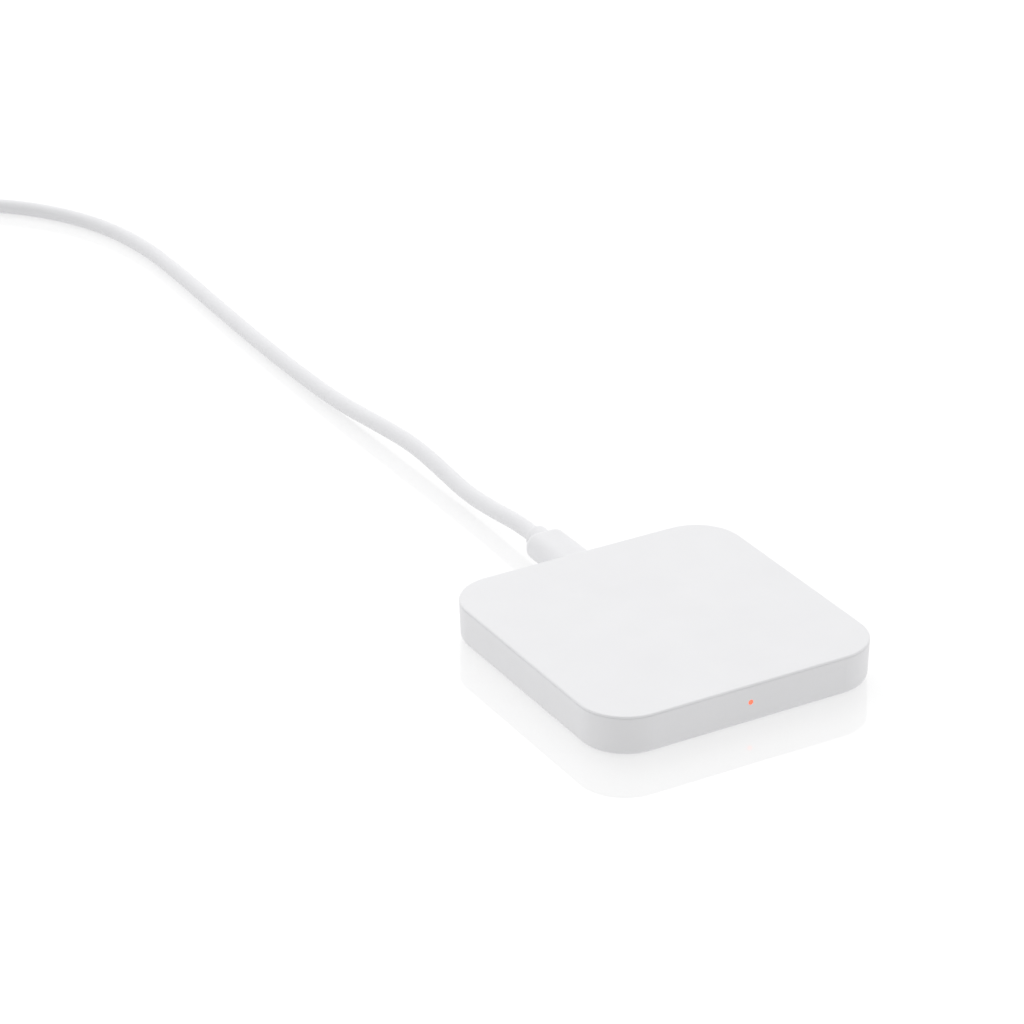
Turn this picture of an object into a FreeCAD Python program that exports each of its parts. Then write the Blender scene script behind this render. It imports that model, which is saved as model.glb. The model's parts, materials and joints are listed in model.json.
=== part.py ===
import FreeCAD, Part
import math
import os
import Sketcher
from FreeCAD import Placement, Rotation, Vector

# Wireless charging pad with a plug-in cord.
# Origin: middle of the pad's underside, on the surface it stands on. +Z is up.
# -Y is the front, with the status light; +Y is the back, with the socket and the cord.

os.makedirs("parts", exist_ok=True)
doc = FreeCAD.newDocument("wireless_charging_pad")

# ---------------------------------------------------------------- driving dimensions

DRIVING = {
    # outer shape
    "pad_width": 80.0,
    "pad_height": 11.1,
    "corner_radius": 12.6,
    "side_draft": 0.35,
    "bottom_round": 1.9,
    "top_round": 0.4,
    "foot_gap": 0.2,
    "cover_edge": 0.55,
    "seam_gap": 0.06,
    "wall": 2.0,
    "floor_thickness": 1.5,
    "cover_thickness": 1.5,
    "lip_clearance": 0.15,
    # feet and screws
    "post_offset": 28.5,
    "foot_diameter": 9.0,
    "foot_recess": 0.6,
    "foot_clearance": 0.1,
    "foot_chamfer": 0.15,
    "glue_gap": 0.02,
    "post_diameter": 5.6,
    "boss_diameter": 7.0,
    "screw_diameter": 2.0,
    "screw_length": 6.4,
    "head_diameter": 3.8,
    "head_height": 1.3,
    "head_round": 0.5,
    "head_room": 1.45,
    "head_clearance": 0.5,
    "shank_clearance": 0.4,
    "thread_clearance": 0.04,
    "pilot_spare": 0.3,
    "slot_length": 2.2,
    "slot_width": 0.5,
    "slot_depth": 0.7,
    # circuit board and socket
    "port_height": 6.0,
    "board_thickness": 1.0,
    "board_width": 66.0,
    "board_depth": 74.4,
    "board_corner": 6.0,
    "board_hole_clearance": 0.6,
    "socket_width": 7.6,
    "socket_height": 2.6,
    "socket_corner": 0.7,
    "socket_depth": 5.0,
    "socket_front": 38.9,
    "socket_clearance": 0.6,
    "opening_corner": 0.8,
    "sheet_metal": 0.25,
    "press_gap": 0.02,
    "rear_block": 1.2,
    "tongue_thickness": 0.45,
    "tongue_width": 4.4,
    "tongue_reach": 3.0,
    "contact_plane": 0.05,
    "contact_count": 5,
    "contact_pitch": 0.65,
    "contact_width": 0.32,
    "contact_length": 2.8,
    "contact_thickness": 0.1,
    # light
    "light_height": 6.25,
    "light_diameter": 1.3,
    "light_clearance": 0.06,
    "flange_diameter": 2.4,
    "flange_thickness": 0.6,
    "light_air": 0.2,
    # coil assembly
    "coil_air": 0.15,
    "ferrite_width": 52.0,
    "ferrite_corner": 8.0,
    "ferrite_thickness": 1.2,
    "centre_hole": 4.0,
    "lead_slot_width": 2.4,
    "lead_slot_length": 3.4,
    "lead_slot_offset": 2.0,
    "lead_bend": 1.6,
    "coil_inner_radius": 10.8,
    "coil_turns": 10,
    "coil_pitch": 1.18,
    "wire_diameter": 1.1,
    "adhesive_thickness": 0.15,
    "tape_inner_margin": 1.2,
    "tape_outer_margin": 1.8,
    "bead_diameter": 2.6,
    "bead_height": 1.2,
    "bead_sink": 0.1,
    "leg_diameter": 0.4,
    "leg_spacing": 1.2,
    "foam_width": 8.0,
    "foam_offset": 20.0,
    # plug on the cord
    "plug_width": 11.3,
    "plug_height": 7.2,
    "plug_corner": 3.3,
    "plug_length": 18.6,
    "plug_gap": 0.15,
    "plug_end_round": 2.5,
    "collar_diameter": 6.4,
    "collar_length": 3.8,
    "collar_round": 1.5,
    "shell_width": 6.9,
    "shell_height": 1.85,
    "shell_corner": 0.6,
    "shell_reach": 4.8,
    "shell_root": 1.5,
    "insert_depth": 1.55,
    "shelf_thickness": 0.4,
    "shelf_margin": 0.4,
    "shelf_reach": 3.1,
    # cord
    "cord_diameter": 4.4,
    "ring_x": -76.3,
    "ring_y": 336.1,
    "ring_middle_radius": 22.4,
    "ring_width": 13.8,
    "ring_turn_height": 8.8,
    "tie_thickness": 0.7,
    "tie_air": 0.05,
    "tie_angle": 20.0,
    "tie_place": -35.0,
    # plug at the far end
    "usb_x": -107.0,
    "usb_y": 297.0,
    "usb_heading": -100.0,
    "usb_width": 15.6,
    "usb_height": 8.0,
    "usb_length": 19.0,
    "usb_corner": 2.2,
    "usb_end_round": 1.0,
    "relief_length": 9.0,
    "relief_start": 5.6,
    "relief_end": 6.8,
    "usb_shell_width": 12.0,
    "usb_shell_height": 4.5,
    "usb_shell_corner": 0.6,
    "usb_shell_reach": 12.0,
    "usb_shell_root": 3.0,
    "usb_metal": 0.32,
    "window_place": 6.5,
    "window_length": 2.6,
    "window_width": 2.2,
    "window_offset": 3.0,
    "usb_block_reach": 1.0,
    "usb_plate_thickness": 1.85,
    "usb_plate_margin": 0.2,
    "usb_plate_reach": 10.6,
    "usb_contact_length": 9.0,
    "usb_contact_width": 1.0,
    "usb_contact_thickness": 0.12,
    "usb_contact_start": 0.2,
    "usb_outer_contact": 3.5,
    "usb_inner_contact": 1.0,
}


S = "Sizes."
FLOOR_TOP = f"({S}foot_gap + {S}floor_thickness)"
SEAM = f"({S}pad_height - {S}cover_edge)"
COVER_UNDERSIDE = f"({S}pad_height - {S}cover_thickness)"
BOARD_TOP = f"({S}port_height - {S}socket_height / 2)"
BOARD_BOTTOM = f"({BOARD_TOP} - {S}board_thickness)"
HEAD_SEAT = f"({S}foot_gap + {S}foot_recess + {S}head_room)"
COIL_TOP = f"({COVER_UNDERSIDE} - {S}coil_air)"
FERRITE_TOP = f"({COIL_TOP} - {S}wire_diameter - {S}adhesive_thickness)"
FERRITE_BOTTOM = f"({FERRITE_TOP} - {S}ferrite_thickness)"
PLUG_FACE = f"({S}pad_width / 2 + {S}plug_gap)"
PLUG_END = f"({PLUG_FACE} + {S}plug_length)"
USB_Z = f"({S}usb_height / 2)"
LIGHT_BACK = f"({S}pad_width / 2 - {S}wall - {S}flange_thickness)"
LED_MIDDLE = f"-({LIGHT_BACK} - {S}light_air - {S}status_led_width / 2)"

# Parts soldered on the board: length, width and height, then the middle of each one's foot.
COMPONENTS = {
    "controller_chip": ((7.0, 7.0, 0.9), [(-5, 8)]),
    "regulator_chip": ((2.9, 1.6, 1.1), [(-13, 26)]),
    "supply_inductor": ((4.0, 4.0, 1.9), [(-8, 25)]),
    "bridge_transistors": ((3.3, 3.3, 1.0), [(x, y) for x in (6, 11) for y in (6, 11)]),
    "resonant_capacitors": ((3.2, 2.5, 2.0), [(8 + 4 * i, -10) for i in range(4)]),
    "bulk_capacitors": ((3.2, 1.6, 1.6), [(6 + 5 * i, 26) for i in range(3)]),
    "chip_resistors": ((1.6, 0.8, 0.5), [(-14 + 3 * i, y) for i in range(5) for y in (-1, -4, -7)]),
    "status_led": ((3.0, 1.0, 1.5), [(0, LED_MIDDLE)]),
}

for part, (sides, _) in COMPONENTS.items():
    for side, size in zip(("length", "width", "height"), sides):
        DRIVING[f"{part}_{side}"] = size

sheet = doc.addObject("Spreadsheet::Sheet", "Sizes")
for row, (alias, size) in enumerate(DRIVING.items(), 1):
    sheet.set(f"A{row}", alias)
    sheet.set(f"B{row}", str(size))
    sheet.setAlias(f"B{row}", alias)
doc.recompute()


def value(expression):
    """The number that an expression of the sheet's aliases gives now."""
    result = sheet.evalExpression(str(expression))
    return float(getattr(result, "Value", result))


# ---------------------------------------------------------------- modelling helpers

def new_body(name):
    """A body whose label is its node name; it may hold several separate solids."""
    body = doc.addObject("PartDesign::Body", name)
    body.AllowCompound = True
    return body


def new_sketch(body, name, plane="XY_Plane", level="0", x="0", y="0"):
    """A sketch on one of the body's own planes, moved by level along the plane's normal."""
    made = body.newObject("Sketcher::SketchObject", name)
    support = next(f for f in body.Origin.OriginFeatures if f.Role == plane)
    made.AttachmentSupport = (support, [""])
    made.MapMode = "FlatFace"
    for axis, expression in (("x", x), ("y", y), ("z", level)):
        made.setExpression(f"AttachmentOffset.Base.{axis}", str(expression))
    return made


def add_circle(sketch, diameter):
    """A circle about the sketch's origin, its diameter bound to an expression."""
    circle = Part.Circle(Vector(0, 0, 0), Vector(0, 0, 1), value(diameter) / 2)
    index = sketch.addGeometry(circle, False)
    sketch.addConstraint(Sketcher.Constraint("Coincident", index, 3, -1, 1))
    size = sketch.addConstraint(Sketcher.Constraint("Diameter", index, value(diameter)))
    sketch.setExpression(f"Constraints[{size}]", str(diameter))


def add_rectangle(sketch, width, depth):
    """A rectangle about the sketch's origin, its sides bound to expressions."""
    x, y = value(width) / 2, value(depth) / 2
    corners = [Vector(-x, -y, 0), Vector(x, -y, 0), Vector(x, y, 0), Vector(-x, y, 0)]
    lines = [
        sketch.addGeometry(Part.LineSegment(corners[i], corners[(i + 1) % 4]), False)
        for i in range(4)
    ]
    for i in range(4):
        sketch.addConstraint(Sketcher.Constraint("Coincident", lines[i], 2, lines[(i + 1) % 4], 1))
        flat = "Horizontal" if i % 2 == 0 else "Vertical"
        sketch.addConstraint(Sketcher.Constraint(flat, lines[i]))
    bind_size(sketch, width, depth, (lines[0], 1), (lines[1], 2))


def add_rounded_rectangle(sketch, width, depth, radius):
    """A rectangle with round corners about the sketch's origin, bound to expressions."""
    x, y, r = value(width) / 2, value(depth) / 2, value(radius)
    arcs, lines = [], []
    for k, (sx, sy) in enumerate(((1, 1), (-1, 1), (-1, -1), (1, -1))):
        centre = Vector(sx * (x - r), sy * (y - r), 0)
        circle = Part.Circle(centre, Vector(0, 0, 1), r)
        arc = Part.ArcOfCircle(circle, k * math.pi / 2, (k + 1) * math.pi / 2)
        arcs.append(sketch.addGeometry(arc, False))
    ends = [
        (Vector(x - r, y, 0), Vector(r - x, y, 0)),
        (Vector(-x, y - r, 0), Vector(-x, r - y, 0)),
        (Vector(r - x, -y, 0), Vector(x - r, -y, 0)),
        (Vector(x, r - y, 0), Vector(x, y - r, 0)),
    ]
    for start, end in ends:
        lines.append(sketch.addGeometry(Part.LineSegment(start, end), False))
    for k in range(4):
        following = arcs[(k + 1) % 4]
        sketch.addConstraint(Sketcher.Constraint("Tangent", arcs[k], 2, lines[k], 1))
        sketch.addConstraint(Sketcher.Constraint("Tangent", lines[k], 2, following, 1))
        flat = "Horizontal" if k % 2 == 0 else "Vertical"
        sketch.addConstraint(Sketcher.Constraint(flat, lines[k]))
    for arc in arcs[1:]:
        sketch.addConstraint(Sketcher.Constraint("Equal", arcs[0], arc))
    size = sketch.addConstraint(Sketcher.Constraint("Radius", arcs[0], r))
    sketch.setExpression(f"Constraints[{size}]", str(radius))
    bind_size(sketch, width, depth, (lines[1], 2), (lines[3], 2), (lines[2], 1), (lines[0], 1))


def bind_size(sketch, width, depth, left, right, bottom=None, top=None):
    """Binds the outline's width and depth, and centres it about the sketch's origin."""
    bottom = bottom or left
    top = top or right
    spans = (("DistanceX", left, right, width), ("DistanceY", bottom, top, depth))
    for kind, low, high, expression in spans:
        full = Sketcher.Constraint(kind, *low, *high, value(expression))
        index = sketch.addConstraint(full)
        sketch.setExpression(f"Constraints[{index}]", str(expression))
        half = Sketcher.Constraint(kind, -1, 1, *high, value(expression) / 2)
        index = sketch.addConstraint(half)
        sketch.setExpression(f"Constraints[{index}]", f"({expression}) / 2")


def add_feature(body, kind, name, sketch, length, along=1, taper=None):
    """A Pad or Pocket along (1) or against (-1) the sketch's normal, with its volume checked."""
    before = body.Shape.Volume if not body.Shape.isNull() else 0.0
    feature = body.newObject(f"PartDesign::{kind}", name)
    feature.Profile = sketch
    feature.Reversed = (along < 0) == (kind == "Pad")
    if taper is not None:
        feature.setExpression("TaperAngle", taper)
    feature.setExpression("Length", str(length))
    body.Tip = feature
    doc.recompute()
    change = body.Shape.Volume - before
    if (kind == "Pad") != (change > 0) or abs(change) < 1e-6:
        raise RuntimeError(f"{body.Label}.{name} changed the volume by {change:.4f}")
    return feature


def pad(body, name, sketch, length, along=1, taper=None):
    return add_feature(body, "Pad", name, sketch, length, along, taper)


def pocket(body, name, sketch, length, along=1):
    return add_feature(body, "Pocket", name, sketch, length, along)


def z_axis(body):
    return next(f for f in body.Origin.OriginFeatures if f.Role == "Z_Axis")


def revolve(body, name, sketch, angle="360"):
    """A revolution about the body's Z axis."""
    feature = body.newObject("PartDesign::Revolution", name)
    feature.Profile = sketch
    feature.ReferenceAxis = (z_axis(body), [""])
    feature.setExpression("Angle", angle)
    body.Tip = feature
    doc.recompute()
    return feature


def dress(body, kind, name, test, size):
    """A Fillet or Chamfer of the tip's edges that pass the test."""
    base = body.Tip
    edges = [f"Edge{i}" for i, edge in enumerate(base.Shape.Edges, 1) if test(edge)]
    feature = body.newObject(f"PartDesign::{kind}", name)
    feature.Base = (base, edges)
    feature.setExpression("Radius" if kind == "Fillet" else "Size", size)
    body.Tip = feature
    doc.recompute()
    return feature


def four_around(body, name, features):
    """Repeats features at the four corners, a quarter turn apart about Z."""
    feature = body.newObject("PartDesign::PolarPattern", name)
    feature.Originals = features
    feature.Axis = (z_axis(body), [""])
    feature.Angle = 360
    feature.Occurrences = 4
    body.Tip = feature
    doc.recompute()
    return feature


def lies_at(axis, level, tolerance=1e-3):
    """A test for edges that lie wholly in a plane across an axis."""
    def test(edge):
        box = edge.BoundBox
        low, high = getattr(box, axis + "Min"), getattr(box, axis + "Max")
        return abs(low - level) < tolerance and abs(high - level) < tolerance
    return test


def block(name, size, corner):
    """A box bound to expressions: size and lowest corner are three expressions each."""
    box = doc.addObject("Part::Box", name)
    for prop, expression in zip(("Length", "Width", "Height"), size):
        box.setExpression(prop, str(expression))
    for axis, expression in zip("xyz", corner):
        box.setExpression(f"Placement.Base.{axis}", str(expression))
    return box


def chip(name, size, centre, level):
    """A box standing on a level, given by its sizes and the centre of its foot."""
    corner = [f"{centre[0]} - ({size[0]}) / 2", f"{centre[1]} - ({size[1]}) / 2", level]
    return block(name, size, corner)


def group(name, members):
    """Separate solids that share one node."""
    compound = doc.addObject("Part::Compound", name)
    compound.Links = members
    return compound


# ---------------------------------------------------------------- casing

def make_housing():
    """The tub: drafted walls, screw bosses, foot recesses, socket opening and light hole."""
    body = new_body("housing")
    bottom_width = f"({S}pad_width - 2 * {S}side_draft)"
    bottom_corner = f"({S}corner_radius - {S}side_draft)"
    wall_rise = f"({SEAM} - {S}seam_gap - {S}foot_gap)"
    outline = new_sketch(body, "outline", level=f"{S}foot_gap")
    add_rounded_rectangle(outline, bottom_width, bottom_width, bottom_corner)
    pad(body, "block", outline, wall_rise, taper=f"atan({S}side_draft / {wall_rise})")
    foot_level = value(f"{S}foot_gap")
    dress(body, "Fillet", "bottom_edge", lies_at("Z", foot_level), f"{S}bottom_round")

    cavity_width = f"({S}pad_width - 2 * {S}wall)"
    cavity = new_sketch(body, "cavity", level=FLOOR_TOP)
    add_rounded_rectangle(cavity, cavity_width, cavity_width, f"({S}corner_radius - {S}wall)")
    pocket(body, "inside", cavity, f"{S}pad_height")

    place = {"x": f"{S}post_offset", "y": f"{S}post_offset"}
    boss = new_sketch(body, "boss", level=FLOOR_TOP, **place)
    add_circle(boss, f"{S}boss_diameter")
    bosses = pad(body, "screw_boss", boss, f"{BOARD_BOTTOM} - {FLOOR_TOP}")
    four_around(body, "screw_bosses", [bosses])

    recess = new_sketch(body, "recess", level=f"{S}foot_gap", **place)
    add_circle(recess, f"{S}foot_diameter + 2 * {S}foot_clearance")
    foot_hole = pocket(body, "foot_recess", recess, f"{S}foot_recess")
    seat = new_sketch(body, "seat", level=f"{S}foot_gap", **place)
    add_circle(seat, f"{S}head_diameter + {S}head_clearance")
    head_hole = pocket(body, "head_hole", seat, f"{S}foot_recess + {S}head_room")
    shank = new_sketch(body, "shank", level=f"{S}foot_gap", **place)
    add_circle(shank, f"{S}screw_diameter + {S}shank_clearance")
    shank_hole = pocket(body, "shank_hole", shank, f"{S}port_height")
    four_around(body, "screw_holes", [foot_hole, head_hole, shank_hole])

    outside = f"{S}pad_width / 2 + {S}wall"
    opening = new_sketch(body, "opening", "XZ_Plane", f"-({outside})", y=f"{S}port_height")
    sides = [f"{S}socket_{side} + {S}socket_clearance" for side in ("width", "height")]
    add_rounded_rectangle(opening, *sides, f"{S}opening_corner")
    pocket(body, "socket_opening", opening, f"2.5 * {S}wall")
    light = new_sketch(body, "light", "XZ_Plane", outside, y=f"{S}light_height")
    add_circle(light, f"{S}light_diameter + {S}light_clearance")
    pocket(body, "light_hole", light, f"2.5 * {S}wall", along=-1)
    return body


def make_top_cover():
    """The lid: a flush top plate, a lip inside the walls and four screw posts."""
    body = new_body("top_cover")
    plate = new_sketch(body, "plate", level=SEAM)
    add_rounded_rectangle(plate, f"{S}pad_width", f"{S}pad_width", f"{S}corner_radius")
    pad(body, "top_plate", plate, f"{S}cover_edge")
    top_level = value(f"{S}pad_height")
    dress(body, "Fillet", "top_edge", lies_at("Z", top_level), f"{S}top_round")

    lip_width = f"({S}pad_width - 2 * {S}wall - 2 * {S}lip_clearance)"
    lip_corner = f"({S}corner_radius - {S}wall - {S}lip_clearance)"
    lip = new_sketch(body, "lip", level=COVER_UNDERSIDE)
    add_rounded_rectangle(lip, lip_width, lip_width, lip_corner)
    pad(body, "locating_lip", lip, f"{SEAM} - {COVER_UNDERSIDE}")

    place = {"x": f"{S}post_offset", "y": f"{S}post_offset"}
    post = new_sketch(body, "post", level=BOARD_TOP, **place)
    add_circle(post, f"{S}post_diameter")
    posts = pad(body, "screw_post", post, f"{COVER_UNDERSIDE} - {BOARD_TOP}")
    four_around(body, "screw_posts", [posts])
    pilot = new_sketch(body, "pilot", level=BOARD_TOP, **place)
    add_circle(pilot, f"{S}screw_diameter + {S}thread_clearance")
    pilot_depth = f"{HEAD_SEAT} + {S}screw_length + {S}pilot_spare - {BOARD_TOP}"
    hole = pocket(body, "pilot_hole", pilot, pilot_depth)
    four_around(body, "pilot_holes", [hole])
    return body


def make_rubber_feet():
    """Four round feet glued in the recesses over the screws."""
    body = new_body("rubber_feet")
    place = {"x": f"{S}post_offset", "y": f"{S}post_offset"}
    disc = new_sketch(body, "disc", **place)
    add_circle(disc, f"{S}foot_diameter")
    foot = pad(body, "foot", disc, f"{S}foot_gap + {S}foot_recess - {S}glue_gap")
    edge = dress(body, "Chamfer", "foot_edge", lies_at("Z", 0.0), f"{S}foot_chamfer")
    four_around(body, "feet", [foot, edge])
    return body


def make_cover_screws():
    """Four pan-head screws with cross slots, driven up through the bosses into the posts."""
    body = new_body("cover_screws")
    place = {"x": f"{S}post_offset", "y": f"{S}post_offset"}
    head = new_sketch(body, "head", level=f"{HEAD_SEAT} - {S}head_height", **place)
    add_circle(head, f"{S}head_diameter")
    features = [pad(body, "pan_head", head, f"{S}head_height")]
    foot_level = value(f"{HEAD_SEAT} - {S}head_height")
    features.append(dress(body, "Fillet", "head_edge", lies_at("Z", foot_level), f"{S}head_round"))
    shank = new_sketch(body, "shank", level=HEAD_SEAT, **place)
    add_circle(shank, f"{S}screw_diameter")
    features.append(pad(body, "thread", shank, f"{S}screw_length"))
    long, short = f"{S}slot_length", f"{S}slot_width"
    for name, sides in (("slot_a", (long, short)), ("slot_b", (short, long))):
        slot = new_sketch(body, name, level=f"{HEAD_SEAT} - {S}head_height", **place)
        add_rectangle(slot, *sides)
        features.append(pocket(body, f"{name}_cut", slot, f"{S}slot_depth"))
    four_around(body, "screws", features)
    return body


def make_light_pipe():
    """A clear rod through the front wall with a flange behind it."""
    body = new_body("light_pipe")
    behind = f"({S}pad_width / 2 - {S}wall)"
    rod = new_sketch(body, "rod", "XZ_Plane", behind, y=f"{S}light_height")
    add_circle(rod, f"{S}light_diameter")
    pad(body, "window", rod, f"{S}wall - {S}side_draft / 2")
    flange = new_sketch(body, "flange", "XZ_Plane", LIGHT_BACK, y=f"{S}light_height")
    add_circle(flange, f"{S}flange_diameter")
    pad(body, "collar", flange, f"{S}flange_thickness")
    return body


# ---------------------------------------------------------------- circuit board

def make_circuit_board():
    """The board, resting on the bosses and clamped by the posts."""
    body = new_body("circuit_board")
    outline = new_sketch(body, "outline", level=BOARD_BOTTOM)
    size = (f"{S}board_width", f"{S}board_depth", f"{S}board_corner")
    add_rounded_rectangle(outline, *size)
    pad(body, "laminate", outline, f"{S}board_thickness")
    place = {"x": f"{S}post_offset", "y": f"{S}post_offset"}
    hole = new_sketch(body, "hole", level=BOARD_BOTTOM, **place)
    add_circle(hole, f"{S}screw_diameter + {S}board_hole_clearance")
    drilled = pocket(body, "screw_hole", hole, f"{S}board_thickness")
    four_around(body, "screw_holes", [drilled])
    return body


def make_components():
    """Parts soldered on top of the board, under the ferrite shield."""
    for name, (_, spots) in COMPONENTS.items():
        size = [f"{S}{name}_{side}" for side in ("length", "width", "height")]
        if len(spots) == 1:
            chip(name, size, spots[0], BOARD_TOP)
            continue
        members = [chip(f"{name}_{i}", size, spot, BOARD_TOP) for i, spot in enumerate(spots)]
        group(name, members)


def make_socket():
    """The micro-USB socket: folded shell, insulator with its tongue, five contacts."""
    front = f"{S}socket_front"
    back = f"({front} - {S}socket_depth)"
    shell = new_body("socket_shell")
    for name, kind, shrink in (("outside", pad, "0"), ("inside", pocket, f"2 * {S}sheet_metal")):
        face = new_sketch(shell, name, "XZ_Plane", f"-{front}", y=f"{S}port_height")
        sides = (f"{S}socket_width - {shrink}", f"{S}socket_height - {shrink}")
        add_rounded_rectangle(face, *sides, f"{S}socket_corner - {shrink} / 2")
        kind(shell, f"{name}_face", face, f"{S}socket_depth")
    insulator = new_body("socket_tongue")
    rear = new_sketch(insulator, "rear", "XZ_Plane", f"-{back}", y=f"{S}port_height")
    inside = f"2 * {S}sheet_metal + {S}press_gap"
    sides = [f"{S}socket_{side} - ({inside})" for side in ("width", "height")]
    add_rounded_rectangle(rear, *sides, f"{S}socket_corner - {S}sheet_metal")
    pad(insulator, "rear_face", rear, f"{S}rear_block", along=-1)
    root = f"({back} + {S}rear_block)"
    tongue_level = f"{S}port_height + {S}contact_plane + {S}tongue_thickness / 2"
    tongue = new_sketch(insulator, "tongue", "XZ_Plane", f"-{root}", y=tongue_level)
    add_rectangle(tongue, f"{S}tongue_width", f"{S}tongue_thickness")
    pad(insulator, "tongue_plate", tongue, f"{S}tongue_reach", along=-1)
    make_contacts("socket_contacts", root, f"{S}port_height - {S}contact_plane")


def make_contacts(name, start, level):
    """A row of flat contacts of the small plug or its socket, centred on the X axis."""
    size = [f"{S}contact_{side}" for side in ("width", "length", "thickness")]
    members = []
    for i in range(DRIVING["contact_count"]):
        left = f"({i} - ({S}contact_count - 1) / 2) * {S}contact_pitch - {S}contact_width / 2"
        members.append(block(f"{name}_{i}", size, (left, start, level)))
    group(name, members)


# ---------------------------------------------------------------- coil assembly

def make_ferrite():
    """The shield under the coil, with openings for the two leads and the thermistor."""
    body = new_body("ferrite_shield")
    outline = new_sketch(body, "outline", level=FERRITE_BOTTOM)
    width = f"{S}ferrite_width"
    add_rounded_rectangle(outline, width, width, f"{S}ferrite_corner")
    pad(body, "plate", outline, f"{S}ferrite_thickness")
    outer = f"{S}coil_inner_radius + {S}coil_turns * {S}coil_pitch"
    inner = f"{S}coil_inner_radius"
    for name, x, way in (("inner_lead", inner, "-1"), ("outer_lead", outer, "1")):
        aside = f"{way} * {S}lead_slot_offset"
        slot = new_sketch(body, name, level=FERRITE_BOTTOM, x=x, y=aside)
        add_rectangle(slot, f"{S}lead_slot_width", f"{S}lead_slot_length")
        pocket(body, f"{name}_slot", slot, f"{S}ferrite_thickness")
    centre = new_sketch(body, "centre", level=FERRITE_BOTTOM)
    add_circle(centre, f"{S}centre_hole")
    pocket(body, "centre_hole", centre, f"{S}ferrite_thickness")
    return body


def make_adhesive_ring():
    """Double-sided tape between the ferrite and the coil."""
    body = new_body("adhesive_ring")
    reach = f"{S}coil_inner_radius + {S}coil_turns * {S}coil_pitch - {S}tape_outer_margin"
    ring = new_sketch(body, "ring", level=FERRITE_TOP)
    add_circle(ring, f"2 * ({reach})")
    pad(body, "tape", ring, f"{S}adhesive_thickness")
    hole = new_sketch(body, "hole", level=FERRITE_TOP)
    add_circle(hole, f"2 * ({S}coil_inner_radius + {S}tape_inner_margin)")
    pocket(body, "tape_hole", hole, f"{S}adhesive_thickness")
    return body


def swept(edges, start, direction, diameter):
    """A round tube along joined edges."""
    circle = Part.Circle(start, direction, diameter / 2)
    profile = Part.Wire([circle.toShape()])
    return Part.Wire(edges).makePipeShell([profile], True, False)


def solid_node(name, shape):
    """A node whose shape is worked out in code."""
    node = doc.addObject("Part::Feature", name)
    node.Shape = shape
    return node


def half_turn(centre, radius, first, level):
    """A counter-clockwise half circle about a point of the X axis, from an angle."""
    spots = [
        Vector(centre + radius * math.cos(angle), radius * math.sin(angle), level)
        for angle in (first, first + math.pi / 2, first + math.pi)
    ]
    return Part.Arc(*spots).toShape()


def make_transmitter_coil():
    """One layer of stranded wire: half circles about two centres make a smooth spiral."""
    pitch = value(f"{S}coil_pitch")
    inner = value(f"{S}coil_inner_radius")
    level = value(f"{COIL_TOP} - {S}wire_diameter / 2")
    diameter = value(f"{S}wire_diameter")
    edges = []
    for turn in range(DRIVING["coil_turns"]):
        radius = inner + turn * pitch
        edges.append(half_turn(0.0, radius, 0.0, level))
        edges.append(half_turn(pitch / 2, radius + pitch / 2, math.pi, level))
    shape = swept(edges, Vector(inner, 0, level), Vector(0, 1, 0), diameter)
    return solid_node("transmitter_coil", shape)


def make_coil_leads():
    """The wire's two ends, bent down through the ferrite to the board."""
    level = value(f"{COIL_TOP} - {S}wire_diameter / 2")
    foot = value(BOARD_TOP)
    diameter = value(f"{S}wire_diameter")
    inner = value(f"{S}coil_inner_radius")
    outer = value(f"{S}coil_inner_radius + {S}coil_turns * {S}coil_pitch")
    bend = value(f"{S}lead_bend")
    slant = math.pi / 4
    leads = []
    for x, way in ((inner, -1), (outer, 1)):
        start = Vector(x, 0, level)
        knee = Vector(x, way * bend, level - bend)
        middle = Vector(x, way * bend * math.sin(slant), level - bend * (1 - math.cos(slant)))
        bent = Part.Arc(start, middle, knee).toShape()
        drop = Part.LineSegment(knee, Vector(x, way * bend, foot)).toShape()
        leads.append(swept([bent, drop], start, Vector(0, way, 0), diameter))
    return solid_node("coil_leads", Part.makeCompound(leads))


def make_thermistor():
    """A bead in the middle of the coil, its two legs going down to the board."""
    bead = doc.addObject("Part::Cylinder", "bead")
    bead.setExpression("Radius", f"{S}bead_diameter / 2")
    bead.setExpression("Height", f"{S}bead_height")
    bead.setExpression("Placement.Base.z", f"{FERRITE_TOP} - {S}bead_sink")
    parts = [bead]
    for i, side in enumerate(("-1", "1")):
        leg = doc.addObject("Part::Cylinder", f"leg_{i}")
        leg.setExpression("Radius", f"{S}leg_diameter / 2")
        leg.setExpression("Height", f"{FERRITE_TOP} - {BOARD_TOP}")
        leg.setExpression("Placement.Base.x", f"{side} * {S}leg_spacing / 2")
        leg.setExpression("Placement.Base.z", BOARD_TOP)
        parts.append(leg)
    fused = doc.addObject("Part::MultiFuse", "coil_thermistor")
    fused.Shapes = parts
    return fused


def make_foam_spacers():
    """Four foam blocks that press the coil assembly up against the lid."""
    size = (f"{S}foam_width", f"{S}foam_width", f"{FERRITE_BOTTOM} - {BOARD_TOP}")
    sides = (f"-{S}foam_offset", f"{S}foam_offset")
    spots = [(x, y) for x in sides for y in sides]
    members = [chip(f"foam_{i}", size, spot, BOARD_TOP) for i, spot in enumerate(spots)]
    group("foam_spacers", members)


# ---------------------------------------------------------------- plug at the pad

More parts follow.
